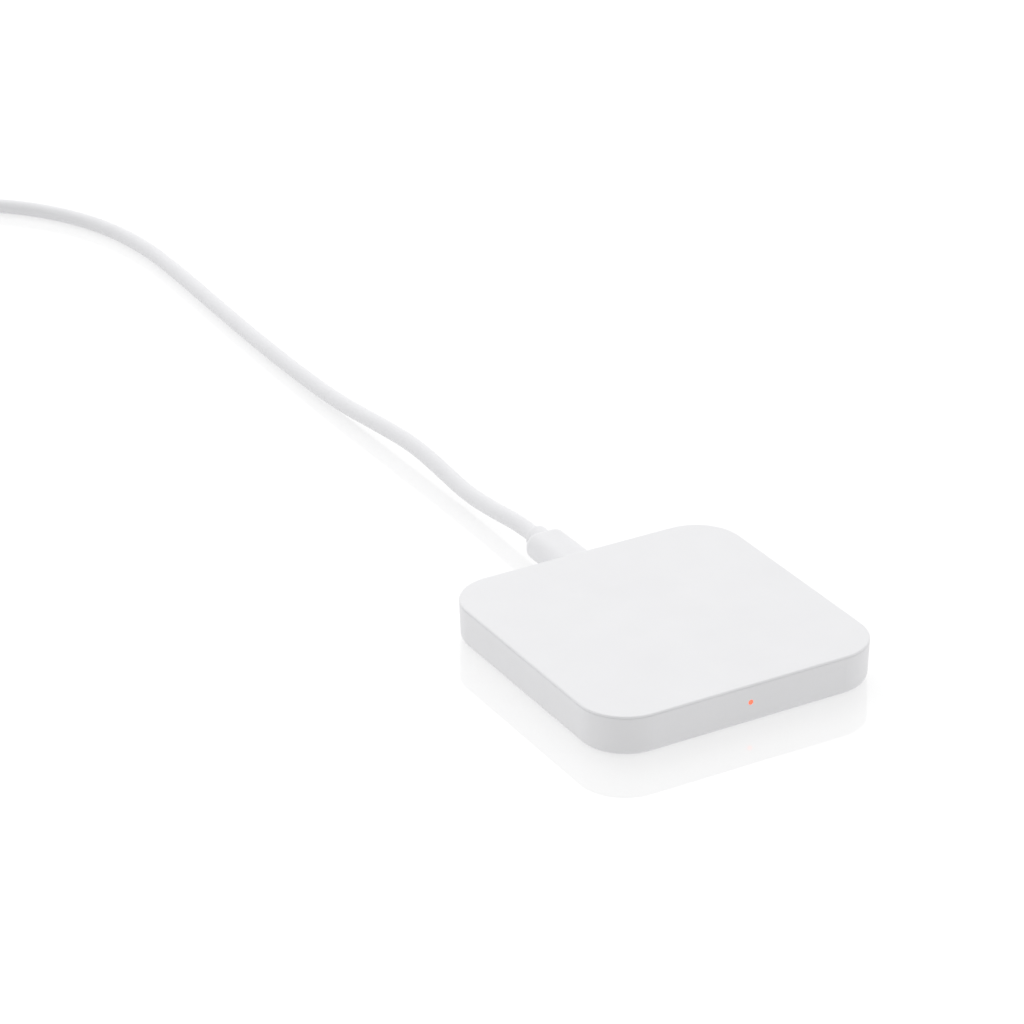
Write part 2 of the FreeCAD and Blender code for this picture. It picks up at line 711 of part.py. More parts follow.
def make_plug_moulding():
    """The white moulding of the small plug, with its round collar."""
    body = new_body("plug_moulding")
    face = new_sketch(body, "face", "XZ_Plane", f"-{PLUG_FACE}", y=f"{S}port_height")
    add_rounded_rectangle(face, f"{S}plug_width", f"{S}plug_height", f"{S}plug_corner")
    pad(body, "grip", face, f"{S}plug_length", along=-1)
    dress(body, "Fillet", "grip_end", lies_at("Y", value(PLUG_END)), f"{S}plug_end_round")
    shoulder = f"({PLUG_END} - {S}plug_end_round)"
    ring = new_sketch(body, "ring", "XZ_Plane", f"-{shoulder}", y=f"{S}port_height")
    add_circle(ring, f"{S}collar_diameter")
    pad(body, "collar", ring, f"{S}plug_end_round + {S}collar_length", along=-1)
    collar_end = value(f"{PLUG_END} + {S}collar_length")
    dress(body, "Fillet", "collar_end", lies_at("Y", collar_end), f"{S}collar_round")
    root = new_sketch(body, "root", "XZ_Plane", f"-{PLUG_FACE}", y=f"{S}port_height")
    add_rounded_rectangle(root, f"{S}shell_width", f"{S}shell_height", f"{S}shell_corner")
    pocket(body, "shell_root", root, f"{S}shell_root", along=-1)
    return body


def make_plug_inside():
    """The small plug's shell, its insulator and five contacts."""
    tip = f"({PLUG_FACE} - {S}shell_reach)"
    total = f"{S}shell_reach + {S}shell_root"
    shell = new_body("plug_shell")
    for name, kind, shrink in (("outside", pad, "0"), ("inside", pocket, f"2 * {S}sheet_metal")):
        face = new_sketch(shell, name, "XZ_Plane", f"-{tip}", y=f"{S}port_height")
        sides = (f"{S}shell_width - {shrink}", f"{S}shell_height - {shrink}")
        add_rounded_rectangle(face, *sides, f"{S}shell_corner - {shrink} / 2")
        kind(shell, f"{name}_face", face, total, along=-1)
    insulator = new_body("plug_insulator")
    inner_height = f"({S}shell_height - 2 * {S}sheet_metal)"
    inner_width = f"({S}shell_width - 2 * {S}sheet_metal)"
    behind = f"({PLUG_FACE} - {S}insert_depth)"
    rear = new_sketch(insulator, "rear", "XZ_Plane", f"-{behind}", y=f"{S}port_height")
    sides = [f"{side} - {S}press_gap" for side in (inner_width, inner_height)]
    add_rounded_rectangle(rear, *sides, f"{S}shell_corner - {S}sheet_metal")
    pad(insulator, "rear_face", rear, f"{S}insert_depth + {S}shell_root", along=-1)
    shelf_bottom = f"({S}port_height - {inner_height} / 2 + {S}press_gap)"
    level = f"{shelf_bottom} + {S}shelf_thickness / 2"
    shelf = new_sketch(insulator, "shelf", "XZ_Plane", f"-{behind}", y=level)
    add_rectangle(shelf, f"{inner_width} - 2 * {S}shelf_margin", f"{S}shelf_thickness")
    pad(insulator, "contact_shelf", shelf, f"{S}shelf_reach")
    contact_level = f"{shelf_bottom} + {S}shelf_thickness"
    make_contacts("plug_contacts", f"{behind} - {S}contact_length", contact_level)


# ---------------------------------------------------------------- cord

# Points that the cord's middle line is laid by, in millimetres, from the collar to the coil.
CORD_ROUTE = [
    (0.0, 62.55, 6.0),
    (0.0, 70.5, 6.0),
    (-0.6, 82.0, 4.8),
    (-1.1, 96.0, 4.0),
    (-0.5, 112.0, 4.7),
    (-0.2, 128.0, 5.2),
    (-1.3, 146.0, 4.2),
    (-2.8, 166.0, 2.9),
    (-3.1, 190.0, 2.4),
    (-2.8, 218.0, 2.2),
    (-2.0, 246.0, 2.2),
    (-1.0, 273.0, 2.2),
    (-1.0, 299.0, 2.2),
    (-6.0, 323.0, 2.2),
    (-18.0, 344.0, 2.2),
    (-36.0, 359.0, 2.3),
    (-58.0, 366.0, 2.6),
    (-80.0, 363.0, 2.95),
]

# The other end, from the top of the coil to the far plug.
TAIL_ROUTE = [
    (-103.4, 336.1, 7.35),
    (-103.5, 327.0, 6.7),
    (-104.1, 316.0, 4.9),
    (-105.4, 306.0, 4.0),
    (-107.0, 297.0, 4.0),
]


def rounded_path(route):
    """Straight runs joined by tangent arcs, each arc as large as its two runs allow."""
    points = [Vector(*spot) for spot in route]
    edges, radii = [], []
    start = points[0]
    for before, corner, after in zip(points, points[1:], points[2:]):
        into = (corner - before).normalize()
        out = (after - corner).normalize()
        reach = 0.45 * min((corner - before).Length, (after - corner).Length)
        half = into.getAngle(out) / 2
        radius = reach / math.tan(half)
        radii.append(round(radius, 1))
        first, last = corner - into * reach, corner + out * reach
        inward = (out - into).normalize()
        middle = corner + inward * (radius / math.cos(half) - radius)
        edges.append(Part.LineSegment(start, first).toShape())
        edges.append(Part.Arc(first, middle, last).toShape())
        start = last
    edges.append(Part.LineSegment(start, points[-1]).toShape())
    return edges, radii


def make_cord(name, route):
    """A round tube along a route, its volume compared with its section times its length."""
    diameter = value(f"{S}cord_diameter")
    edges, radii = rounded_path(route)
    length = sum(edge.Length for edge in edges)
    first = Vector(*route[1]) - Vector(*route[0])
    shape = swept(edges, Vector(*route[0]), first, diameter)
    expected = math.pi * diameter ** 2 / 4 * length
    print(f"{name}: length {length:.1f} mm, radii {radii} mm")
    print(f"{name}: volume {shape.Volume:.1f}, section x length {expected:.1f} mm3")
    return solid_node(name, shape)


def make_cord_coil():
    """The outer shape of the wound part of the cord: a ring with round edges."""
    body = new_body("cord_coil")
    level = f"{S}tie_thickness + {S}tie_air + {S}ring_turn_height / 2"
    section = new_sketch(body, "section", "XZ_Plane", x=f"{S}ring_middle_radius", y=level)
    sides = (f"{S}ring_width", f"{S}ring_turn_height")
    add_rounded_rectangle(section, *sides, f"{S}cord_diameter / 2")
    revolve(body, "ring", section)
    body.Placement = Placement(Vector(value(f"{S}ring_x"), value(f"{S}ring_y"), 0), Rotation())
    return body


def make_cord_tie():
    """A strap once round the coil's section, following its curve."""
    body = new_body("cord_tie")
    level = f"{S}tie_thickness + {S}tie_air + {S}ring_turn_height / 2"
    section = new_sketch(body, "section", "XZ_Plane", x=f"{S}ring_middle_radius", y=level)
    air = f"2 * {S}tie_air"
    for grow in (air, f"{air} + 2 * {S}tie_thickness"):
        sides = (f"{S}ring_width + {grow}", f"{S}ring_turn_height + {grow}")
        add_rounded_rectangle(section, *sides, f"{S}cord_diameter / 2 + ({grow}) / 2")
    revolve(body, "strap", section, f"{S}tie_angle")
    turn = Rotation(Vector(0, 0, 1), value(f"{S}tie_place"))
    body.Placement = Placement(Vector(value(f"{S}ring_x"), value(f"{S}ring_y"), 0), turn)
    return body


# ---------------------------------------------------------------- plug at the far end

def place_far_plug(node):
    """Moves a piece drawn along +X from the strain relief to where the far plug lies."""
    turn = Rotation(Vector(0, 0, 1), value(f"{S}usb_heading"))
    spot = Vector(value(f"{S}usb_x"), value(f"{S}usb_y"), 0)
    node.Placement = Placement(spot, turn)


def make_usb_moulding():
    """The white moulding of the large plug, with its tapered strain relief."""
    body = new_body("usb_moulding")
    back = f"{S}relief_length"
    front = f"({back} + {S}usb_length)"
    face = new_sketch(body, "face", "YZ_Plane", back, y=USB_Z)
    add_rounded_rectangle(face, f"{S}usb_width", f"{S}usb_height", f"{S}usb_corner")
    pad(body, "grip", face, f"{S}usb_length")
    dress(body, "Fillet", "back_edge", lies_at("X", value(back)), f"{S}usb_end_round")
    dress(body, "Fillet", "front_edge", lies_at("X", value(front)), f"{S}usb_shell_corner")
    relief = new_sketch(body, "relief", "YZ_Plane", back, y=USB_Z)
    add_circle(relief, f"{S}relief_end")
    narrowing = f"-atan(({S}relief_end - {S}relief_start) / 2 / {S}relief_length)"
    pad(body, "strain_relief", relief, back, along=-1, taper=narrowing)
    root = new_sketch(body, "root", "YZ_Plane", f"{front} - {S}usb_shell_root", y=USB_Z)
    sides = (f"{S}usb_shell_width", f"{S}usb_shell_height")
    add_rounded_rectangle(root, *sides, f"{S}usb_shell_corner")
    pocket(body, "shell_root", root, f"{S}usb_shell_root")
    return body


def make_usb_inside():
    """The large plug's shell with its four windows, its insulator and four contacts."""
    front = f"({S}relief_length + {S}usb_length)"
    root = f"({front} - {S}usb_shell_root)"
    total = f"{S}usb_shell_root + {S}usb_shell_reach"
    shell = new_body("usb_shell")
    for name, kind, shrink in (("outside", pad, "0"), ("inside", pocket, f"2 * {S}usb_metal")):
        face = new_sketch(shell, name, "YZ_Plane", root, y=USB_Z)
        sides = (f"{S}usb_shell_width - {shrink}", f"{S}usb_shell_height - {shrink}")
        add_rounded_rectangle(face, *sides, f"{S}usb_shell_corner - {shrink} / 2")
        kind(shell, f"{name}_face", face, total)
    for name, side in (("left_windows", "1"), ("right_windows", "-1")):
        place = {"x": f"{front} + {S}window_place", "y": f"{side} * {S}window_offset"}
        window = new_sketch(shell, f"{name}_outline", **place)
        add_rectangle(window, f"{S}window_length", f"{S}window_width")
        pocket(shell, name, window, f"{S}usb_height")
    insulator = new_body("usb_insulator")
    inner_width = f"({S}usb_shell_width - 2 * {S}usb_metal)"
    inner_height = f"({S}usb_shell_height - 2 * {S}usb_metal)"
    rear = new_sketch(insulator, "rear", "YZ_Plane", root, y=USB_Z)
    sides = [f"{side} - {S}press_gap" for side in (inner_width, inner_height)]
    add_rounded_rectangle(rear, *sides, f"{S}usb_shell_corner - {S}usb_metal")
    pad(insulator, "rear_face", rear, f"{S}usb_shell_root + {S}usb_block_reach")
    plate_top = f"({USB_Z} - {S}contact_plane)"
    level = f"{plate_top} - {S}usb_plate_thickness / 2"
    start = f"({front} + {S}usb_block_reach)"
    plate = new_sketch(insulator, "plate", "YZ_Plane", start, y=level)
    add_rectangle(plate, f"{inner_width} - 2 * {S}usb_plate_margin", f"{S}usb_plate_thickness")
    pad(insulator, "contact_plate", plate, f"{S}usb_plate_reach")
    size = [f"{S}usb_contact_{side}" for side in ("length", "width", "thickness")]
    middles = [f"{side} * {S}usb_{row}_contact" for row in ("outer", "inner") for side in (-1, 1)]
    members = []
    for i, middle in enumerate(middles):
        corner = (f"{start} + {S}usb_contact_start", f"{middle} - {S}usb_contact_width / 2", plate_top)
        members.append(block(f"usb_contact_{i}", size, corner))
    contacts = group("usb_contacts", members)
    return shell, insulator, contacts


# ---------------------------------------------------------------- the whole part

def build():
    make_housing()
    make_top_cover()
    make_rubber_feet()
    make_cover_screws()
    make_light_pipe()
    make_circuit_board()
    make_components()
    make_socket()
    make_ferrite()
    make_adhesive_ring()
    make_transmitter_coil()
    make_coil_leads()
    make_thermistor()
    make_foam_spacers()
    make_plug_moulding()
    make_plug_inside()
    make_cord("cord", CORD_ROUTE)
    make_cord("cord_tail", TAIL_ROUTE)
    make_cord_coil()
    make_cord_tie()
    for node in (make_usb_moulding(), *make_usb_inside()):
        place_far_plug(node)


NODES = [
    "housing", "top_cover", "rubber_feet", "cover_screws", "light_pipe",
    "circuit_board", "controller_chip", "regulator_chip", "supply_inductor",
    "bridge_transistors", "resonant_capacitors", "bulk_capacitors", "chip_resistors",
    "status_led", "socket_shell", "socket_tongue", "socket_contacts",
    "ferrite_shield", "adhesive_ring", "transmitter_coil", "coil_leads",
    "coil_thermistor", "foam_spacers",
    "plug_moulding", "plug_shell", "plug_insulator", "plug_contacts",
    "cord", "cord_tail", "cord_coil", "cord_tie",
    "usb_moulding", "usb_shell", "usb_insulator", "usb_contacts",
]


def check_and_write():
    """Stops on any failed object, then writes one file for each node."""
    doc.recompute()
    for item in doc.Objects:
        if {"Invalid", "Error"} & set(item.State):
            raise RuntimeError(f"{item.Name} failed: {item.State}")
    for name in NODES:
        shape = doc.getObject(name).Shape
        if shape.isNull() or not shape.isValid():
            raise RuntimeError(f"{name} has no valid shape")
        shape.exportStep(f"parts/{name}.step")
        box = shape.BoundBox
        print(f"{name}: {len(shape.Solids)} solids, {shape.Volume:.2f} mm3,"
              f" z {box.ZMin:.2f} to {box.ZMax:.2f}")


build()
check_and_write()
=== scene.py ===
"""Looks of a wireless charging pad with its plug-in cord, in metres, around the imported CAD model."""

import json
import math

import bpy
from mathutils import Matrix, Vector


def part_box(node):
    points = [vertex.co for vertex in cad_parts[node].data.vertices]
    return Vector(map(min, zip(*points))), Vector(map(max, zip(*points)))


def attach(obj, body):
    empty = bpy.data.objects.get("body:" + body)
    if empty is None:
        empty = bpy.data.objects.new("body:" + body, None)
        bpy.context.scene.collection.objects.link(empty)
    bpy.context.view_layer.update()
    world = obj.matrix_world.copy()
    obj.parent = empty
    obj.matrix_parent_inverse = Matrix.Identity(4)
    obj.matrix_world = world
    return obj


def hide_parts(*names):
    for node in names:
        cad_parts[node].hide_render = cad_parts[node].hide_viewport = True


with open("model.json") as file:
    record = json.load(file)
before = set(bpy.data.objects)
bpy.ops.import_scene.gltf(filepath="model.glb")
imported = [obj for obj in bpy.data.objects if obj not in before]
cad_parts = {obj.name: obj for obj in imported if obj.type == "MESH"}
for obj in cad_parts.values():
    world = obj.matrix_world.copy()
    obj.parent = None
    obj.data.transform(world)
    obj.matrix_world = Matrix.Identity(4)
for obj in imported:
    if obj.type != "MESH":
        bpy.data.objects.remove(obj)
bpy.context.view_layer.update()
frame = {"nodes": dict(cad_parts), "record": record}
MM = 0.001

# ---------------------------------------------------------------- places taken from the frame

PAD_LOW, PAD_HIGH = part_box("top_cover")
PAD_TOP = Vector(((PAD_LOW[0] + PAD_HIGH[0]) / 2, (PAD_LOW[1] + PAD_HIGH[1]) / 2, PAD_HIGH[2]))
RING_LOW, RING_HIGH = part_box("cord_coil")
RING_CENTRE = [(low + high) / 2 for low, high in zip(RING_LOW, RING_HIGH)]

# ---------------------------------------------------------------- camera

CAMERA_AZIMUTH = -32.19
CAMERA_ELEVATION = 28.07
CAMERA_DISTANCE = 0.949
CAMERA_PITCH = 26.54
CAMERA_YAW = -30.47
CAMERA_LENS = 136.1
CAMERA_SENSOR = 36
CAMERA_SHIFT = -0.0469
CAMERA_NEAR = 0.01
CAMERA_FAR = 100


def make_camera():
    """Looks down at the pad from its front left, with a long lens."""
    azimuth, elevation = math.radians(CAMERA_AZIMUTH), math.radians(CAMERA_ELEVATION)
    level = math.cos(elevation)
    back = Vector((math.sin(azimuth) * level, -math.cos(azimuth) * level, math.sin(elevation)))
    data = bpy.data.cameras.new("camera")
    data.sensor_width = CAMERA_SENSOR
    data.lens = CAMERA_LENS
    data.shift_x = CAMERA_SHIFT
    data.clip_start = CAMERA_NEAR
    data.clip_end = CAMERA_FAR
    camera = bpy.data.objects.new("camera", data)
    camera.location = PAD_TOP + back * CAMERA_DISTANCE
    camera.rotation_euler = (math.radians(90 - CAMERA_PITCH), 0, math.radians(CAMERA_YAW))
    bpy.context.collection.objects.link(camera)
    bpy.context.scene.camera = camera


# ---------------------------------------------------------------- floor and light values

FLOOR_HALF = 6.0
FLOOR_ALBEDO = 0.4
FLOOR_GLOW = 0.51
FLOOR_IOR = 2.0
FLOOR_CLOUD = 0.3
FLOOR_HAZE = 0.05

# How brightly the tent glows, and the azimuth in degrees that its open front faces.
ROOM_WALLS = 1.26
ROOM_CEILING = 1.0
ROOM_OPENING = 0.49
ROOM_OPENING_AZIMUTH = -32.0
ROOM_OPENING_EDGE = 0.1

SOFTBOX_SPOT = (0.1, 0.8, 1.0)
SOFTBOX_WIDTH = 1.2
SOFTBOX_HEIGHT = 0.9
SOFTBOX_POWER = 2.4


# ---------------------------------------------------------------- materials

WHITE = (0.79, 0.79, 0.803)
VINYL = (0.80, 0.80, 0.815)
WINDOW_DARK = (0.55, 0.09, 0.05)
WINDOW_LIGHT = (0.6, 0.12, 0.06)
GLOW_DARK = (1.0, 0.15, 0.075)
GLOW_LIGHT = (1.0, 0.2, 0.1)
GLOW_STRENGTH = 0.85

# How far patterns reach across a surface, from one feature to the next.
PLASTIC_CLOUD = 11 * MM
PLASTIC_SPECK = 0.6 * MM
PLASTIC_SMUDGE = 18 * MM
VINYL_CLOUD = 6 * MM
VINYL_DUST = 1.1 * MM
VINYL_SHEEN = 4 * MM
VINYL_GRAIN = 0.35 * MM
RUBBER_CLOUD = 2 * MM
RUBBER_WEAR = 1.5 * MM
RUBBER_GRAIN = 0.2 * MM
METAL_CLOUD = 1.5 * MM
METAL_MARK = 3 * MM
WIRE_CLOUD = 1 * MM
WINDOW_CLOUD = 0.8 * MM
STRAP_FIBRE = 0.25 * MM
STRAP_WEAVE = 0.6 * MM
STRAND_DENSITY = 900

# Depths of the reliefs.
PLASTIC_WAVE = 0.01 * MM
VINYL_RELIEF = 0.008 * MM
RUBBER_RELIEF = 0.02 * MM
METAL_RELIEF = 0.004 * MM
STRAND_RELIEF = 0.05 * MM
WEAVE_RELIEF = 0.12 * MM
FIBRE_RELIEF = 0.08 * MM

# The part of a noise pattern's range that shows as sparse spots.
SPECKS_FROM, SPECKS_TO = 0.62, 0.78
DUST_FROM, DUST_TO = 0.64, 0.8


class Graph:
    """A short way to build a Principled material's nodes."""

    FIRST_COLOUR, SECOND_COLOUR, MIXED_COLOUR = 6, 7, 2

    def __init__(self, name):
        self.material = bpy.data.materials.new(name)
        self.material.use_nodes = True
        self.tree = self.material.node_tree
        self.shader = self.tree.nodes["Principled BSDF"]
        self.place = self.node("ShaderNodeTexCoord").outputs["Object"]
        self.height = None

    def node(self, kind, **settings):
        made = self.tree.nodes.new(kind)
        for key, setting in settings.items():
            setattr(made, key, setting)
        return made

    def link(self, source, target):
        self.tree.links.new(source, target)

    def noise(self, size, detail=4.0, roughness=0.6, stretch=(1, 1, 1)):
        """Noise whose features are about size metres across."""
        mapping = self.node("ShaderNodeMapping")
        mapping.inputs["Scale"].default_value = stretch
        self.link(self.place, mapping.inputs["Vector"])
        made = self.node("ShaderNodeTexNoise")
        made.inputs["Scale"].default_value = 1 / size
        made.inputs["Detail"].default_value = detail
        made.inputs["Roughness"].default_value = roughness
        self.link(mapping.outputs["Vector"], made.inputs["Vector"])
        return made.outputs["Fac"]

    def ramp(self, source, low, high, start=0.3, end=0.7):
        """Maps a pattern to a range of numbers."""
        made = self.node("ShaderNodeMapRange")
        made.inputs["From Min"].default_value = start
        made.inputs["From Max"].default_value = end
        made.inputs["To Min"].default_value = low
        made.inputs["To Max"].default_value = high
        self.link(source, made.inputs["Value"])
        return made.outputs["Result"]

    def blend(self, factor, first, second):
        """A colour between two, each a colour or another node's output."""
        made = self.node("ShaderNodeMix", data_type="RGBA")
        self.link(factor, made.inputs["Factor"])
        for index, colour in ((self.FIRST_COLOUR, first), (self.SECOND_COLOUR, second)):
            if isinstance(colour, tuple):
                made.inputs[index].default_value = (*colour, 1)
            else:
                self.link(colour, made.inputs[index])
        return made.outputs[self.MIXED_COLOUR]

    def bump(self, source, depth, strength=1.0):
        """Adds a relief of about depth metres, on top of any relief already there."""
        made = self.node("ShaderNodeBump")
        made.inputs["Strength"].default_value = strength
        made.inputs["Distance"].default_value = depth
        self.link(source, made.inputs["Height"])
        if self.height is not None:
            self.link(self.height, made.inputs["Normal"])
        self.height = made.outputs["Normal"]
        self.link(self.height, self.shader.inputs["Normal"])

    def set(self, **values):
        for key, number in values.items():
            self.shader.inputs[key.replace("_", " ")].default_value = number

    def colour(self, output):
        self.link(output, self.shader.inputs["Base Color"])

    def roughness(self, output):
        self.link(output, self.shader.inputs["Roughness"])


def scaled(colour, factor):
    return tuple(min(1.0, channel * factor) for channel in colour)


def moulded_plastic(name, colour, rough=(0.34, 0.46), grain=0.22 * MM, depth=0.006 * MM):
    """Satin moulded plastic: spark-eroded grain, faint flow clouds and handling smudges."""
    g = Graph(name)
    clouds = g.noise(PLASTIC_CLOUD, detail=3.0, roughness=0.5)
    specks = g.noise(PLASTIC_SPECK, detail=2.0, roughness=0.7)
    base = g.blend(g.ramp(clouds, 0, 1), colour, scaled(colour, 0.985))
    spots = g.ramp(specks, 0, 1, SPECKS_FROM, SPECKS_TO)
    g.colour(g.blend(spots, base, scaled(colour, 0.965)))
    smudges = g.noise(PLASTIC_SMUDGE, detail=5.0, roughness=0.62)
    g.roughness(g.ramp(smudges, *rough))
    g.bump(g.noise(grain, detail=3.0, roughness=0.65), depth)
    g.bump(clouds, PLASTIC_WAVE, strength=0.4)
    g.set(Specular_IOR_Level=0.45)
    return g.material


def soft_vinyl(name, colour):
    """Soft satin PVC of a cord or a moulding: faintly matt and clouded, with a fine grain."""
    g = Graph(name)
    clouds = g.noise(VINYL_CLOUD, detail=4.0, roughness=0.55)
    dust = g.noise(VINYL_DUST, detail=2.0, roughness=0.7)
    base = g.blend(g.ramp(clouds, 0, 1), colour, scaled(colour, 0.975))
    spots = g.ramp(dust, 0, 1, DUST_FROM, DUST_TO)
    g.colour(g.blend(spots, base, scaled(colour, 0.94)))
    g.roughness(g.ramp(g.noise(VINYL_SHEEN, detail=4.0, roughness=0.6), 0.42, 0.56))
    g.bump(g.noise(VINYL_GRAIN, detail=3.0, roughness=0.6), VINYL_RELIEF)
    g.set(Specular_IOR_Level=0.4, Sheen_Weight=0.05)
    return g.material


def rubber(name, colour):
    """Matt silicone, a little uneven."""
    g = Graph(name)
    g.colour(g.blend(g.ramp(g.noise(RUBBER_CLOUD), 0, 1), colour, scaled(colour, 0.86)))
    g.roughness(g.ramp(g.noise(RUBBER_WEAR), 0.62, 0.82))
    g.bump(g.noise(RUBBER_GRAIN, detail=4.0, roughness=0.7), RUBBER_RELIEF)
    g.set(Specular_IOR_Level=0.3)
    return g.material


def plated_metal(name, colour, rough=(0.16, 0.3)):
    """Drawn and plated sheet metal with fine marks across its Z axis."""
    g = Graph(name)
    marks = g.noise(METAL_MARK, detail=6.0, roughness=0.7, stretch=(1, 1, 30))
    g.colour(g.blend(g.ramp(g.noise(METAL_CLOUD), 0, 1), colour, scaled(colour, 0.84)))
    g.roughness(g.ramp(marks, *rough))
    g.bump(marks, METAL_RELIEF, strength=0.6)
    g.set(Metallic=1.0)
    return g.material


def fired_or_cast(name, colour, rough=(0.4, 0.7), size=0.8 * MM, dark=0.7, depth=0.01 * MM):
    """Ceramic, ferrite, epoxy and board surfaces: mottled and slightly uneven."""
    g = Graph(name)
    g.colour(g.blend(g.ramp(g.noise(size, detail=5.0), 0, 1), colour, scaled(colour, dark)))
    g.roughness(g.ramp(g.noise(size * 2), *rough))
    g.bump(g.noise(size / 3), depth)
    return g.material


def stranded_copper(name, colour):
    """Fine enamelled strands twisted together."""
    g = Graph(name)
    waves = g.node("ShaderNodeTexWave", wave_type="BANDS", bands_direction="DIAGONAL")
    waves.inputs["Scale"].default_value = STRAND_DENSITY
    waves.inputs["Distortion"].default_value = 1.5
    g.link(g.place, waves.inputs["Vector"])
    strands = waves.outputs["Fac"]
    g.colour(g.blend(strands, colour, scaled(colour, 0.55)))
    g.roughness(g.ramp(g.noise(WIRE_CLOUD), 0.25, 0.4))
    g.bump(strands, STRAND_RELIEF)
    g.set(Metallic=0.8, Coat_Weight=0.3)
    return g.material


def glowing_window(name):
    """Clear acrylic lit from behind: orange-red, glowing a little unevenly."""
    g = Graph(name)
    glow = g.ramp(g.noise(WINDOW_CLOUD, detail=2.0, roughness=0.5), 0, 1)
    g.colour(g.blend(glow, WINDOW_DARK, WINDOW_LIGHT))
    g.link(g.blend(glow, GLOW_DARK, GLOW_LIGHT), g.shader.inputs["Emission Color"])
    g.roughness(g.ramp(glow, 0.12, 0.2, 0, 1))
    g.set(Emission_Strength=GLOW_STRENGTH)
    return g.material


def woven_strap(name, colour):
    """Hook-and-loop tape: short fibres over a close weave."""
    g = Graph(name)
    fibres = g.noise(STRAP_FIBRE, detail=6.0, roughness=0.75)
    weave = g.node("ShaderNodeTexVoronoi", feature="DISTANCE_TO_EDGE")
    weave.inputs["Scale"].default_value = 1 / STRAP_WEAVE
    g.link(g.place, weave.inputs["Vector"])
    g.colour(g.blend(g.ramp(fibres, 0, 1), colour, scaled(colour, 0.8)))
    g.roughness(g.ramp(fibres, 0.75, 0.95))
    g.bump(weave.outputs["Distance"], WEAVE_RELIEF)
    g.bump(fibres, FIBRE_RELIEF)
    g.set(Sheen_Weight=0.4, Specular_IOR_Level=0.2)
    return g.material


def polished_sheet(name):
    """White acrylic, polished on top and glowing evenly from inside."""
    g = Graph(name)
    clouds = g.ramp(g.noise(FLOOR_CLOUD), 0, 1)
    g.colour(g.blend(clouds, (FLOOR_ALBEDO,) * 3, (FLOOR_ALBEDO * 0.99,) * 3))
    g.roughness(g.ramp(g.noise(FLOOR_HAZE), 0.02, 0.05))
    g.set(Emission_Color=(1, 1, 1, 1), Emission_Strength=FLOOR_GLOW, IOR=FLOOR_IOR)
    return g.material


SLOT_MATERIALS = {
    "white_shell": lambda: moulded_plastic("housing_abs", WHITE, (0.4, 0.5), 0.3 * MM, 0.009 * MM),
    "white_cover": lambda: moulded_plastic("cover_abs", WHITE),
    "white_moulding": lambda: soft_vinyl("moulding_pvc", VINYL),
    "white_cord": lambda: soft_vinyl("cord_pvc", VINYL),
    "foot_rubber": lambda: rubber("foot_silicone", (0.42, 0.42, 0.43)),
    "screw_steel": lambda: plated_metal("zinc_screw", (0.55, 0.55, 0.56), (0.25, 0.4)),
    "light_window": lambda: glowing_window("lit_window"),
    "board": lambda: fired_or_cast("solder_mask", (0.03, 0.2, 0.08), (0.3, 0.45), 3 * MM),
    "chip_black": lambda: fired_or_cast("chip_epoxy", (0.03, 0.03, 0.033)),
    "ceramic": lambda: fired_or_cast("capacitor_ceramic", (0.42, 0.3, 0.2)),
    "led_body": lambda: fired_or_cast("led_resin", (0.8, 0.77, 0.68), (0.2, 0.3), dark=0.9),
    "tinned_steel": lambda: plated_metal("bright_nickel", (0.72, 0.72, 0.74)),
    "black_insulator": lambda: fired_or_cast("black_liquid_crystal_polymer", (0.03, 0.03, 0.03)),
    "usb_plate": lambda: fired_or_cast("white_contact_plate", (0.75, 0.75, 0.75), dark=0.93),
    "gold_contact": lambda: plated_metal("gold_flash", (0.83, 0.6, 0.24), (0.15, 0.25)),
    "ferrite": lambda: fired_or_cast("sintered_ferrite", (0.07, 0.07, 0.075), size=0.5 * MM),
    "tape": lambda: fired_or_cast("tape_film", (0.7, 0.67, 0.55), (0.35, 0.5), dark=0.9),
    "copper_wire": lambda: stranded_copper("stranded_copper", (0.75, 0.33, 0.16)),
    "foam": lambda: fired_or_cast("closed_cell_foam", (0.06, 0.06, 0.065), (0.8, 0.95), 0.4 * MM),
    "tie_strap": lambda: woven_strap("tie_weave", (0.78, 0.78, 0.79)),
}


def dress_cad_nodes():
    """Gives every CAD node its slot's material."""
    made = {slot: build() for slot, build in SLOT_MATERIALS.items()}
    for entry in frame["record"]["subparts"]:
        node = frame["nodes"][entry["node"]]
        node.data.materials.clear()
        node.data.materials.append(made[entry["material_slot"]])
    return made


# ---------------------------------------------------------------- cord

CORD_DIAMETER = 4.4 * MM

# The cord's points from the collar to the coil, in millimetres, as the CAD route has them.
CORD_ROUTE = [
    (0.0, 62.55, 6.0),
    (0.0, 70.5, 6.0),
    (-0.6, 82.0, 4.8),
    (-1.1, 96.0, 4.0),
    (-0.5, 112.0, 4.7),
    (-0.2, 128.0, 5.2),
    (-1.3, 146.0, 4.2),
    (-2.8, 166.0, 2.9),
    (-3.1, 190.0, 2.4),
    (-2.8, 218.0, 2.2),
    (-2.0, 246.0, 2.2),
    (-1.0, 273.0, 2.2),
    (-1.0, 299.0, 2.2),
    (-6.0, 323.0, 2.2),
    (-18.0, 344.0, 2.2),
    (-36.0, 359.0, 2.3),
    (-58.0, 366.0, 2.6),
    (-80.0, 363.0, 2.95),
]

# The other end, from the top of the coil to the far plug.
TAIL_ROUTE = [
    (-103.4, 336.1, 7.35),
    (-103.5, 327.0, 6.7),
    (-104.1, 316.0, 4.9),
    (-105.4, 306.0, 4.0),
    (-107.0, 297.0, 4.0),
]

# The coil's whole turns come on top of the part of a turn between its two ends.
WHOLE_TURNS = 4
POINTS_PER_TURN = 16
TURN_GAP = 0.6 * MM
CLIMB_DEGREES = 120


